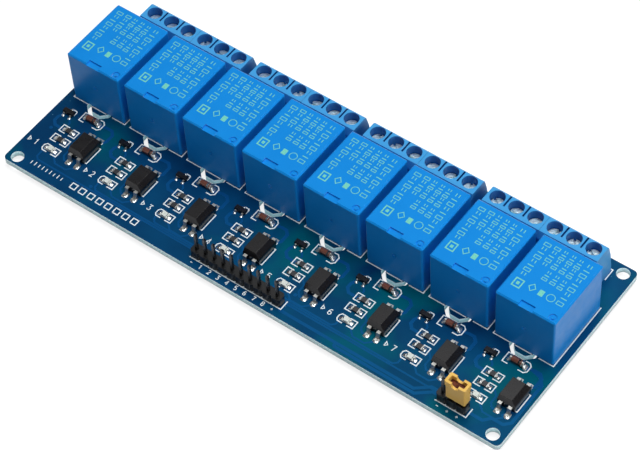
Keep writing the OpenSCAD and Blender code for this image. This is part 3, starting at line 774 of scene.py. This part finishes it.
@dataclass
class Tracks:
    """Copper tracks under the mask, drawn as slightly raised flat lines, sizes in millimetres.

    Attributes:
        places: where the channels and headers are.
        signal: width of a signal track.
        power: width of a supply track.
        rise: height of a track over the mask.
        sink: depth of its hidden foot inside the board.
        step: how much one track's top differs from the next, so that none lie in one plane.
        via: radius of the pad round a via.
        vias: middle of each via.
    """

    places: Places
    signal: float = 0.45
    power: float = 0.8
    rise: float = 0.02
    sink: float = 0.02
    step: float = 0.001
    via: float = 0.45
    vias: tuple[Point, ...] = (
        (25.8, -26.6),
        (38.2, -23.6),
        (-66.5, -14.5),
        (-47.2, -22.9),
        (10.6, -20.6),
        (-31.4, -23.9),
    )

    def build(self) -> None:
        """Draft the upper and lower tracks."""
        self.upper()
        self.lower()

    def upper(self) -> None:
        """Draft the tracks of each channel, of the input lanes and of the supply."""
        draft = Draft()
        low, high = self.places.top - self.sink, self.places.top + self.rise
        runs = [(path, self.signal) for path in self.input_lanes()]
        runs += [(path, self.power) for path in self.supply_paths()]
        for middle in self.places.channels:
            runs += [(shifted(path, middle), width) for path, width in self.channel_paths()]
        for k, (path, width) in enumerate(runs):
            draft.stroke(path, width, low, high + self.step * (k % 7))
        for middle in self.vias:
            draft.disc(middle, self.via, low, high + 12 * self.step)
        draft.piece("tracks_upper", Stuff.COPPER_TRACK, "board")

    def channel_paths(self) -> list[tuple[list[Point], float]]:
        """List one channel's tracks.

        Returns:
            Each track from the middle of the channel's relay, with its width.
        """
        base = [(-6.4, -9.9), (-6.95, -10.9), (-6.95, -12.2), (-5.9, -13.3), (-3.2, -13.3)]
        drive = [(-4.3, -10.0), (-3.3, -11.0), (-3.3, -11.6)]
        return_lead = [(-0.5, -20.2), (0.5, -21.2), (1.8, -22.4), (5.0, -22.4), (6.4, -21.0), (6.7, -20.3)]
        series = [(-0.5, -16.3), (0.9, -16.3), (2.0, -17.4), (2.0, -19.4), (2.9, -20.4), (4.2, -20.4)]
        coil = [(3.0, -7.7), (5.2, -7.2), (6.6, -7.2), (7.6, -8.2), (7.6, -10.6), (6.7, -11.5)]
        return [
            (base, 0.8),
            (drive, self.signal),
            (return_lead, self.signal),
            (series, self.signal),
            (coil, self.power),
        ]

    def input_lanes(self) -> list[list[Point]]:
        """List the tracks from the input pins to the channels' indicators, none crossing another.

        Returns:
            One path for each channel.
        """
        paths = []
        chamfer = 0.8
        for channel, middle in enumerate(self.places.channels):
            pin = self.places.input_pins[channel + 1]
            goal = middle - 3.2
            outward = abs(channel - (CHANNELS - 1) / 2) - 0.5
            lane = -22.1 - 0.55 * outward
            way = math.copysign(chamfer, goal - pin)
            if abs(goal - pin) < 2 * chamfer:
                paths.append([(pin, self.places.header_y + 1), (pin, -22.3), (goal, -21.4), (goal, -20.4)])
                continue
            paths.append(
                [
                    (pin, self.places.header_y + 1),
                    (pin, lane - chamfer),
                    (pin + way, lane),
                    (goal - way, lane),
                    (goal, lane + chamfer),
                    (goal, -20.4),
                ]
            )
        return paths

    def supply_paths(self) -> list[list[Point]]:
        """List the wide supply tracks along the front edge and round the right-hand corner.

        Returns:
            One path for each track.
        """
        front = [(9.4, -25.2), (10.4, -25.9), (46.6, -25.9), (49.6, -23.4), (51.6, -23.4)]
        second = [(25.8, -26.9), (47.4, -26.9), (50.6, -24.3), (52.6, -24.3)]
        corner = [(59.6, -24.2), (63.4, -24.2), (64.8, -22.6), (67.6, -22.6), (68.9, -21.2), (68.9, -9.6)]
        corner += [(67.4, -7.9), (65.2, -7.4)]
        side = [(66.9, -12.2), (67.6, -13.4), (67.6, -18.4), (66.2, -21.0)]
        return [front, second, corner, side]

    def lower(self) -> None:
        """Draft the wide contact tracks under the board, from relay pins to terminal pins."""
        draft = Draft()
        low, high = self.places.under - self.rise, self.places.under + self.sink
        for channel, middle in enumerate(self.places.channels):
            pair, half = divmod(channel, 2)
            block_low, block_high = node_box(f"terminal_blocks_{pair + 1}")
            length = (block_high.x - block_low.x) / 2
            centre = block_low.x + length * (half + 0.5)
            for pole, (x, y) in enumerate(((-6.0, 12.95), (0.0, -1.25), (6.0, 12.95))):
                goal = centre + (pole - 1) * length / 3
                start = middle + x
                path = [(start, y), (start, 15.2), (goal, 17.2), (goal, 18.7)]
                draft.stroke(path, 2.4 if pole != 1 else 3.0, low, high)
        draft.piece("tracks_lower", Stuff.COPPER_TRACK, "board")


# Legend digits as pen strokes on a grid one wide and two high
STROKES: dict[str, list[list[Point]]] = {
    "1": [[(0.15, 1.6), (0.55, 2.0), (0.55, 0.0)]],
    "2": [[(0.0, 1.7), (0.3, 2.0), (0.75, 2.0), (1.0, 1.7), (1.0, 1.3), (0.0, 0.0), (1.0, 0.0)]],
    "3": [[(0.0, 2.0), (1.0, 2.0), (0.45, 1.2), (1.0, 0.8), (1.0, 0.3), (0.7, 0.0), (0.2, 0.0), (0.0, 0.3)]],
    "4": [[(0.8, 0.0), (0.8, 2.0), (0.0, 0.6), (1.1, 0.6)]],
    "5": [[(1.0, 2.0), (0.1, 2.0), (0.0, 1.1), (0.7, 1.2), (1.0, 0.8), (1.0, 0.3), (0.7, 0.0), (0.0, 0.1)]],
    "6": [
        [(0.9, 1.9), (0.4, 1.9), (0.0, 1.2), (0.0, 0.3), (0.3, 0.0), (0.7, 0.0), (1.0, 0.3), (1.0, 0.8), (0.7, 1.1)]
        + [(0.1, 1.0)]
    ],
    "7": [[(0.0, 2.0), (1.0, 2.0), (0.4, 0.0)]],
    "8": [
        [(0.3, 1.1), (0.0, 1.4), (0.0, 1.7), (0.3, 2.0), (0.7, 2.0), (1.0, 1.7), (1.0, 1.4), (0.7, 1.1)]
        + [(0.3, 1.1)],
        [(0.3, 1.1), (0.0, 0.8), (0.0, 0.3), (0.3, 0.0), (0.7, 0.0), (1.0, 0.3), (1.0, 0.8), (0.7, 1.1)],
    ],
    "+": [[(0.0, 1.0), (1.0, 1.0)], [(0.5, 0.5), (0.5, 1.5)]],
    "-": [[(0.0, 1.0), (1.0, 1.0)]],
    ">": [[(0.0, 0.2), (0.9, 1.0), (0.0, 1.8), (0.0, 0.2)]],
}


@dataclass
class Legend:
    """White printed outlines, numbers and polarity signs on the board, sizes in millimetres.

    Attributes:
        places: where the channels and headers are.
        pen: width of an outline.
        fine: width of a number's stroke.
        film: thickness of the ink, enough to lie over a track.
        unit: width of a channel's number.
        small: width of a sign beside a header.
    """

    places: Places
    pen: float = 0.27
    fine: float = 0.2
    film: float = 0.04
    unit: float = 0.75
    small: float = 0.55

    def build(self) -> None:
        """Print each channel and then what stands for the whole board."""
        for number, middle in enumerate(self.places.channels, 1):
            draft = Draft()
            for path in self.channel_paths():
                self.line(draft, shifted(path, middle))
            self.mark(draft, ">", (middle - 8.4, -20.6), self.unit)
            self.mark(draft, str(number), (middle - 6.5, -20.6), self.unit)
            draft.piece(f"legend_channel_{number}", Stuff.LEGEND_INK, "board")
        draft = Draft()
        self.header(draft, self.places.input_pins, "-12345678+")
        self.header(draft, self.places.supply_pins, "-++")
        for x, way in ((-64.8, -1), (64.8, 1)):
            self.line(draft, [(x - way * 2.4, 25.3), (x, 25.3), (x, 22.0)])
        self.channel_symbol(draft)
        draft.piece("legend_board", Stuff.LEGEND_INK, "board")

    def line(self, draft: Draft, path: Sequence[Point], width: float | None = None) -> None:
        """Print one outline on the upper face."""
        draft.stroke(path, width or self.pen, self.places.top - self.film, self.places.top + self.film)

    def mark(self, draft: Draft, sign: str, corner: Point, unit: float) -> None:
        """Print one digit or sign, its lower left corner and grid unit given."""
        for path in STROKES[sign]:
            self.line(draft, shifted(path, corner[0], corner[1], unit), self.fine)

    def channel_paths(self) -> list[list[Point]]:
        """List the outlines of one channel.

        Returns:
            Each outline from the middle of the channel's relay.
        """
        relay = [
            [(-3.4, -3.98), (-7.85, -3.98), (-7.85, 15.1)],
            [(7.85, 15.1), (7.85, -3.98), (4.0, -3.98)],
            [(-2.2, -3.98), (2.2, -3.98)],
        ]
        transistor = [[(-5.3, -7.3), (-4.2, -7.3), (-3.95, -7.5), (-3.95, -8.75)]]
        diode = [
            [(-0.8, -9.0), (-2.2, -9.0), (-2.2, -6.3), (-0.9, -6.3)],
            [(1.9, -9.05), (3.3, -9.05), (3.95, -8.4), (3.95, -6.8), (3.3, -6.15), (2.2, -6.15)],
        ]
        resistors = []
        for y in (-13.1, -16.3):
            resistors.append([(-2.3, y + 1.02), (-4.05, y + 1.02), (-4.05, y - 1.02), (-2.3, y - 1.02)])
            resistors.append([(-1.2, y + 1.02), (0.6, y + 1.02), (0.6, y - 1.02), (-1.2, y - 1.02)])
        led = [
            [(-2.2, -18.75), (-3.5, -18.75), (-3.95, -19.3), (-3.95, -20.3), (-3.5, -20.85), (-2.2, -20.85)],
            [(-1.3, -18.75), (0.6, -18.75), (0.6, -20.85), (-1.0, -20.85)],
        ]
        opto = [
            [(6.9, -13.05), (7.95, -13.05), (7.95, -18.25), (6.6, -18.25)],
            arc((6.4, -11.6), 0.75, 60, -60),
        ]
        return relay + transistor + diode + resistors + led + opto

    def header(self, draft: Draft, pins: list[float], signs: str) -> None:
        """Print the front line of a header with a tick between its cells, and a sign for each pin.

        Args:
            draft: what gathers the print.
            pins: middle of each pin along the row.
            signs: one sign for each pin.
        """
        pitch = pins[1] - pins[0]
        front = self.places.header_y - 1.35
        left, right = pins[0] - pitch / 2 - 0.1, pins[-1] + pitch / 2 + 0.4
        self.line(draft, [(left, front), (right, front), (right, front + 2.6)])
        for pin, sign in zip(pins, signs):
            if pin != pins[0]:
                self.line(draft, [(pin - pitch / 2, front + 0.1), (pin - pitch / 2, front + 0.4)])
            self.mark(draft, sign, (pin - 0.3, front - 1.6), self.small)

    def channel_symbol(self, draft: Draft) -> None:
        """Print eight plain squares in a row, one for each channel, and a row of fine bars beside them."""
        side, step, left, foot = 1.5, 2.6, -51.2, -25.9
        for k in range(CHANNELS):
            x = left + k * step
            self.line(draft, [(x, foot), (x + side, foot), (x + side, foot + side), (x, foot + side), (x, foot)])
        for k in range(9):
            x = -63.4 + 1.15 * k
            self.line(draft, [(x, -25.6), (x, -24.7 + 0.2 * (k % 2))], self.fine)


@dataclass
class SolderWork:
    """Solder on the surface-mounted parts: a fillet at each lead or end, sizes in millimetres.

    Attributes:
        places: where the channels are.
        land: depth of a fillet's flat underside below the board's face.
        lap: how far a fillet reaches over the chip's end.
        toe: how far it reaches past the end.
        least: height of the thinnest solder.
    """

    places: Places
    land: float = 0.02
    lap: float = 0.05
    toe: float = 0.85
    least: float = 0.05

    def build(self) -> None:
        """Solder every channel."""
        for number, middle in enumerate(self.places.channels, 1):
            draft = Draft()
            for y in (-13.1, -16.3, -19.8):
                height = 0.5 if y > -19 else 0.36
                self.end_fillet(draft, middle - 1.7, y, -1, height)
                self.end_fillet(draft, middle - 1.7, y, 1, height)
            self.end_fillet(draft, middle + 0.86, -7.6, -1, 0.7, reach=1.75, span=0.7)
            self.end_fillet(draft, middle + 0.86, -7.6, 1, 0.9, reach=1.75, span=0.85)
            for x, y in ((-6.25, -9.95), (-4.35, -9.95), (-5.3, -7.55)):
                self.foot(draft, middle + x, y, 0.75, 0.8, 0.16)
            for x in (4.18, 6.72):
                self.foot(draft, middle + x, -20.15, 1.5, 1.9, 0.24)
                self.foot(draft, middle + x, -11.25, 1.0, 1.1, 0.12)
            draft.piece(f"solder_fillets_{number}", Stuff.SOLDER, "solder", smooth=True)

    def end_fillet(
        self, draft: Draft, x: float, y: float, way: int, height: float, reach: float = 1.0, span: float = 0.62
    ) -> None:
        """Add a hollow-faced fillet that climbs the end of a chip.

        Args:
            draft: what gathers the solder.
            x: middle of the chip along the row.
            y: middle of the chip across the board.
            way: -1 for its left end and 1 for its right end.
            height: how far the solder climbs.
            reach: half the chip's length.
            span: half the pad's width.
        """
        near, far = x + way * (reach - self.lap), x + way * (reach + self.toe)

        def climb(u: float, v: float) -> float:
            """Shape the fillet, steep at the chip and flat across the pad.

            Args:
                u: share of the way along the row.
                v: share of the way across the pad.

            Returns:
                The fillet's height there.
            """
            along = u if way > 0 else 1 - u
            across = 1 - abs(2 * v - 1) ** 3
            return self.least + height * (1 - along) ** 1.7 * across + 0.06 * across

        base = self.places.top - self.land
        draft.mound((min(near, far), y - span), (max(near, far), y + span), climb, base)

    def foot(self, draft: Draft, x: float, y: float, width: float, length: float, height: float) -> None:
        """Add a low dome of solder round the foot of a lead.

        Args:
            draft: what gathers the solder.
            x: middle of the foot along the row.
            y: middle of the foot across the board.
            width: width of its pad.
            length: length of its pad.
            height: how far the solder rises.
        """

        def dome(u: float, v: float) -> float:
            """Shape the dome, highest in its middle.

            Args:
                u: share of the way along the row.
                v: share of the way across the board.

            Returns:
                The dome's height there.
            """
            distance = min(1.0, math.hypot(2 * u - 1, 2 * v - 1))
            return 0.04 + height * (1 - distance**1.6)

        base = self.places.top - self.land
        draft.mound((x - width / 2, y - length / 2), (x + width / 2, y + length / 2), dome, base)


@dataclass
class Board:
    """The bare board with its tracks, print and solder.

    Attributes:
        nodes: every construction solid by name.
        places: where the channels and headers are.
    """

    nodes: dict[str, bpy.types.Object]
    places: Places

    def build(self) -> None:
        """Dress the laminate and add tracks, legend and solder."""
        dress(self.nodes, ["circuit_board"], Stuff.SOLDER_MASK)
        dress(self.nodes, ["solder_joints"], Stuff.SOLDER)
        Tracks(self.places).build()
        Legend(self.places).build()
        SolderWork(self.places).build()


# ---------------------------------------------------------------- relays


@dataclass
class Relays:
    """The row of relays: covers with their print, and the magnet systems inside.

    Attributes:
        nodes: every construction solid by name.
        film: thickness of the print, in millimetres.
    """

    nodes: dict[str, bpy.types.Object]
    film: float = 0.015

    def build(self) -> None:
        """Dress the eight relays and print their covers."""
        numbers = range(1, CHANNELS + 1)
        dress(self.nodes, [f"relay_cover_{n}" for n in numbers], Stuff.RELAY_PBT)
        dress(self.nodes, ["relay_bases"], Stuff.BASE_PBT)
        dress(self.nodes, ["relay_bobbins"], Stuff.BOBBIN_NYLON)
        dress(self.nodes, ["relay_coils"], Stuff.COIL_WIRE)
        dress(self.nodes, ["relay_cores", "relay_yokes"], Stuff.SOFT_IRON)
        dress(self.nodes, [f"relay_armature_{n}" for n in numbers], Stuff.SOFT_IRON)
        dress(self.nodes, ["relay_fixed_contacts", "relay_common_pins"], Stuff.SPRING_BRONZE)
        dress(self.nodes, ["relay_coil_pins"], Stuff.TINNED_COPPER)
        for n in numbers:
            self.print_cover(n)

    def print_cover(self, number: int) -> None:
        """Print one cover with rows of plain signs, a ring, a diamond and squares.

        Args:
            number: the relay's place in the row, from 1.
        """
        low, high = node_box(f"relay_cover_{number}")
        x0, y0 = (low.x + high.x) / 2, low.y
        foot, face = high.z - self.film, high.z + self.film
        draft = Draft()
        for x, start, end, tall, groups in self.rows():
            self.sign_row(draft, (x0 + x, y0 + start), end - start, tall, groups, foot, face)
        draft.stroke(arc((x0 + 3.1, y0 + 5.3), 0.95, 0, 345, 23), 0.16, foot, face, closed=True)
        corner = (x0 - 5.9, y0 + 3.6)
        square = [(0, 0), (1.9, 0), (1.9, 2.2), (0, 2.2)]
        draft.stroke(shifted(square, *corner), 0.3, foot, face, closed=True)
        draft.prism(shifted([(0.6, 0.7), (1.3, 0.7), (1.3, 1.5), (0.6, 1.5)], *corner), foot, face)
        diamond = [(0, -1.0), (0.85, 0), (0, 1.0), (-0.85, 0)]
        draft.stroke(shifted(diamond, x0 - 1.7, y0 + 5.4), 0.18, foot, face, closed=True)
        draft.prism(shifted([(0, 0), (1.2, 0), (1.2, 1.6), (0, 1.6)], x0 + 0.1, y0 + 4.4), foot, face)
        draft.piece(f"relay_print_{number}", Stuff.RELAY_INK, "relay_cover")

    @staticmethod
    def rows() -> list[tuple[float, float, float, float, tuple[int, ...]]]:
        """List the rows of print on a cover.

        Returns:
            Each row's place across, start, end, height and how many signs each group has.
        """
        return [
            (-5.3, 6.8, 17.5, 1.5, (8,)),
            (-2.9, 11.5, 17.7, 1.3, (5,)),
            (-0.8, 8.2, 17.8, 1.15, (3, 6)),
            (1.25, 8.2, 17.8, 1.15, (3, 6)),
            (3.2, 8.0, 17.7, 1.15, (3, 6)),
            (5.5, 4.4, 17.7, 1.5, (9,)),
        ]

    @staticmethod
    def sign_row(
        draft: Draft, start: Point, length: float, tall: float, groups: tuple[int, ...], foot: float, face: float
    ) -> None:
        """Print a row of plain signs in groups: bars, open boxes and pairs of dashes by turns.

        Args:
            draft: what gathers the print.
            start: middle of the row's front end.
            length: length of the row.
            tall: height of its signs.
            groups: how many signs each group has.
            foot: height of the ink's underside.
            face: height of its top.
        """
        pen = 0.16
        step = length / (sum(groups) + 0.6 * (len(groups) - 1))
        half, wide = tall / 2, step * 0.3
        box = [(-half, -wide), (half, -wide), (half, wide), (-half, wide)]
        x, y = start
        for count in groups:
            for k in range(count):
                middle = y + step * (k + 0.5)
                turn = (k + count) % 3
                if turn == 0:
                    draft.stroke(shifted(box, x, middle), pen, foot, face, closed=True)
                elif turn == 1:
                    draft.stroke([(x - half, middle), (x + half, middle)], pen * 1.4, foot, face)
                else:
                    for side in (-half, half):
                        dash = [(x + side * 0.55, middle - wide), (x + side * 0.55, middle + wide)]
                        draft.stroke(dash, pen * 1.2, foot, face)
            y += step * (count + 0.6)


# ---------------------------------------------------------------- terminals, small parts, headers


@dataclass
class Terminals:
    """Screw terminals along the back edge.

    Attributes:
        nodes: every construction solid by name.
    """

    nodes: dict[str, bpy.types.Object]

    def build(self) -> None:
        """Dress housings, screws, clamps and pins."""
        dress(self.nodes, [f"terminal_blocks_{n}" for n in range(1, 5)], Stuff.TERMINAL_NYLON)
        dress(self.nodes, ["terminal_screws"], Stuff.ZINC_STEEL)
        dress(self.nodes, ["terminal_clamps"], Stuff.PLATED_BRASS)
        dress(self.nodes, ["terminal_pins"], Stuff.TINNED_COPPER)


@dataclass
class SmallParts:
    """Optocouplers, transistors, diodes, resistors and indicator LEDs.

    Attributes:
        nodes: every construction solid by name.
        places: where the channels are.
    """

    nodes: dict[str, bpy.types.Object]
    places: Places

    def build(self) -> None:
        """Dress every small part and add the diodes' bands."""
        dress(self.nodes, ["optocoupler_bodies", "transistor_bodies"], Stuff.BLACK_EPOXY)
        dress(self.nodes, ["optocoupler_leads", "transistor_leads", "diode_caps"], Stuff.TINNED_COPPER)
        dress(self.nodes, ["diode_glass"], Stuff.DIODE_GLASS)
        dress(self.nodes, ["resistor_bodies"], Stuff.CHIP_GLAZE)
        dress(self.nodes, ["resistor_ends"], Stuff.TINNED_COPPER)
        dress(self.nodes, ["led_bases"], Stuff.LED_CARRIER)
        dress(self.nodes, ["led_lenses"], Stuff.LED_RESIN)
        self.bands()

    def bands(self) -> None:
        """Add the cathode band round each diode's glass."""
        low, high = node_box("diode_glass")
        middle = (low + high) / 2
        outside = (high.z - low.z) / 2 + 0.01
        inside = outside - 0.05
        first = low.x - self.places.channels[0] + 1.75
        width, steps = 0.5, 24
        draft = Draft()
        for channel in self.places.channels:
            start, end = channel + first, channel + first + width
            begin = len(draft.points)
            for x, r in ((start, inside), (start, outside), (end, outside), (end, inside)):
                for k in range(steps):
                    a = 2 * math.pi * k / steps
                    draft.points.append((x, middle.y + r * math.cos(a), middle.z + r * math.sin(a)))
            for ring in range(4):
                for k in range(steps):
                    here, there = begin + ring * steps, begin + ((ring + 1) % 4) * steps
                    after = (k + 1) % steps
                    draft.faces.append((here + k, there + k, there + after, here + after))
        draft.piece("diode_bands", Stuff.BAND_ENAMEL, "black_moulding", smooth=True)


@dataclass
class Headers:
    """Pin headers and the jumper cap.

    Attributes:
        nodes: every construction solid by name.
    """

    nodes: dict[str, bpy.types.Object]

    def build(self) -> None:
        """Dress housings, pins, cap and clip."""
        dress(self.nodes, ["input_header_housing", "supply_header_housing"], Stuff.BLACK_NYLON)
        dress(self.nodes, ["input_header_pins", "supply_header_pins"], Stuff.HEADER_PIN)
        dress(self.nodes, ["jumper_cap"], Stuff.JUMPER_NYLON)
        dress(self.nodes, ["jumper_clip"], Stuff.CLIP_BRONZE)


# ---------------------------------------------------------------- studio


@dataclass
class Studio:
    """White floor, soft boxes, a pale horizon and the camera, sizes in metres.

    Attributes:
        floor_z: height of the floor.
        azimuth: direction that the camera looks along, in degrees from +Y towards -X.
        elevation: how far the camera looks down, in degrees.
        roll: how far its right side drops, in degrees.
        distance: from the camera to the point that it looks at.
        focal: focal length on a 36 mm wide sensor, in millimetres.
        shift: how far the picture's middle lies to the right, in widths of the picture.
        aim: point that the camera looks at.
        paper: colour of the floor as the object's light finds it.
        lift: brightness added to the floor where it is seen.
        sail: brightness of the white cloth that hangs over the right and back of the set.
        ceiling: brightness of the dark ceiling beside it.
        fill: how much of the white horizon lights the object.
    """

    floor_z: float
    azimuth: float = 40.30
    elevation: float = 52.32
    roll: float = 4.50
    distance: float = 0.5454
    focal: float = 136.03
    shift: float = 0.0095
    aim: tuple[float, float, float] = (0.00444, -0.00506, 0.006)
    paper: str = "#9A9A9A"
    lift: float = 0.82
    sail: float = 1.1
    ceiling: float = 0.08
    fill: float = 0.35

    def build(self) -> None:
        """Make floor, world, lamps and camera."""
        self.floor()
        self.world()
        self.soft_box("overhead_box", (0.15, 0.08, 0.90), (0.60, 0.60), 6.3)
        self.soft_box("right_box", (0.90, -0.10, 0.35), (0.50, 0.40), 2.2)
        self.camera()

    def floor(self) -> None:
        """Make a wide floor of pale paper that keeps the shadow, and that is seen as white."""
        half = 4.0
        mesh = bpy.data.meshes.new("floor")
        corners = [(-half, -half), (half, -half), (half, half), (-half, half)]
        mesh.from_pydata([(x, y, self.floor_z) for x, y in corners], [], [(0, 1, 2, 3)])
        material = bpy.data.materials.new("white_paper")
        material.use_nodes = True
        tree = material.node_tree
        tree.nodes.clear()
        paper = add_node(tree, "BsdfDiffuse", {"Color": linear(self.paper)})
        seen = self.seen(tree, self.lift, 0.0)
        lift = add_node(tree, "Emission", {"Color": linear("#FFFFFF"), "Strength": seen})
        both = add_node(tree, "AddShader", {0: paper.outputs[0], 1: lift.outputs[0]})
        add_node(tree, "OutputMaterial", {"Surface": both.outputs[0]})
        mesh.materials.append(material)
        floor = bpy.data.objects.new("floor", mesh)
        bpy.context.scene.collection.objects.link(floor)
        floor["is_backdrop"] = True

    @staticmethod
    def seen(tree: Tree, level: float, rest: float) -> Socket:
        """Tell what is seen directly, mirrored or through glass from what only lights the object.

        Args:
            tree: node tree that the nodes go into.
            level: value for camera, glossy and transmission rays.
            rest: value for all other rays.

        Returns:
            A socket with the value for the ray at hand.
        """
        ray = add_node(tree, "LightPath").outputs
        either = ray["Is Camera Ray"]
        for kind in ("Is Glossy Ray", "Is Transmission Ray"):
            either = add_node(tree, "Math", {0: either, 1: ray[kind]}, operation="MAXIMUM").outputs[0]
        return add_node(tree, "MapRange", {"Value": either, "To Min": rest, "To Max": level}).outputs[0]

    def world(self) -> None:
        """Make a white horizon under a dim ceiling, as in a studio with a light cove."""
        world = bpy.data.worlds.new("studio")
        bpy.context.scene.world = world
        world.use_nodes = True
        tree = world.node_tree
        tree.nodes.clear()
        direction = add_node(tree, "TexCoord").outputs["Generated"]
        way = add_node(tree, "SeparateXYZ", {"Vector": direction}).outputs
        sail = 1.0
        for axis, start, end in (("X", -0.44, -0.34), ("X", 0.3, 0.1), ("Y", 0.1, 0.35), ("Z", 0.5, 0.7)):
            reach = {"Value": way[axis], "From Min": start, "From Max": end}
            edge = add_node(tree, "MapRange", reach, interpolation_type="SMOOTHSTEP").outputs[0]
            sail = add_node(tree, "Math", {0: edge, 1: sail}, operation="MULTIPLY").outputs[0]
        overhead = add_node(tree, "Math", {0: sail, 1: self.sail, 2: self.ceiling}, operation="MULTIPLY_ADD")
        reach = {"Value": way["Z"], "From Min": 0.2, "From Max": 0.4, "To Min": 1.0, "To Max": 0.0}
        cove = add_node(tree, "MapRange", reach, interpolation_type="SMOOTHSTEP").outputs[0]
        horizon = add_node(tree, "Math", {0: cove, 1: self.seen(tree, 1.0, self.fill)}, operation="MULTIPLY")
        brighter = {0: overhead.outputs[0], 1: horizon.outputs[0]}
        level = add_node(tree, "Math", brighter, operation="MAXIMUM").outputs[0]
        background = add_node(tree, "Background", {"Color": linear("#FFFFFF"), "Strength": level})
        add_node(tree, "OutputWorld", {"Surface": background.outputs[0]})

    @staticmethod
    def soft_box(name: str, place: tuple[float, float, float], size: Point, power: float) -> None:
        """Hang a rectangular soft box that faces the board.

        Args:
            name: the lamp's name.
            place: its middle.
            size: its width and height.
            power: its power in watts.
        """
        lamp = bpy.data.lights.new(name, "AREA")
        lamp.shape = "RECTANGLE"
        lamp.size, lamp.size_y = size
        lamp.energy = power
        holder = bpy.data.objects.new(name, lamp)
        holder.location = place
        holder.rotation_euler = Vector(place).to_track_quat("Z", "Y").to_euler()
        bpy.context.scene.collection.objects.link(holder)

    def camera(self) -> None:
        """Set up a long-lens camera on the board."""
        azimuth, elevation = math.radians(self.azimuth), math.radians(self.elevation)
        across, down = math.cos(elevation), math.sin(elevation)
        forward = Vector((-math.sin(azimuth) * across, math.cos(azimuth) * across, -down))
        level_right = forward.cross(Vector((0, 0, 1))).normalized()
        right = Matrix.Rotation(math.radians(self.roll), 3, forward) @ level_right
        basis = Matrix((right, right.cross(forward), -forward)).transposed().to_4x4()
        data = bpy.data.cameras.new("camera")
        data.lens, data.sensor_width, data.shift_x = self.focal, 36, self.shift
        data.clip_start, data.clip_end = 0.01, 20
        camera = bpy.data.objects.new("camera", data)
        camera.matrix_world = Matrix.Translation(Vector(self.aim) - forward * self.distance) @ basis
        bpy.context.scene.collection.objects.link(camera)
        bpy.context.scene.camera = camera


def main() -> None:
    """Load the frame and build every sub-assembly in order."""
    logging.basicConfig(level=logging.INFO, format="%(name)s: %(message)s")
    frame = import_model()
    construction_box = [list(corner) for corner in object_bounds()]
    nodes = frame["nodes"]
    places = Places.from_frame()
    Board(nodes, places).build()
    Relays(nodes).build()
    Terminals(nodes).build()
    SmallParts(nodes, places).build()
    Headers(nodes).build()
    Studio(floor_z=construction_box[0][2]).build()
    bpy.context.scene.view_settings.view_transform = "Standard"


if __name__ == "__main__":
    main()
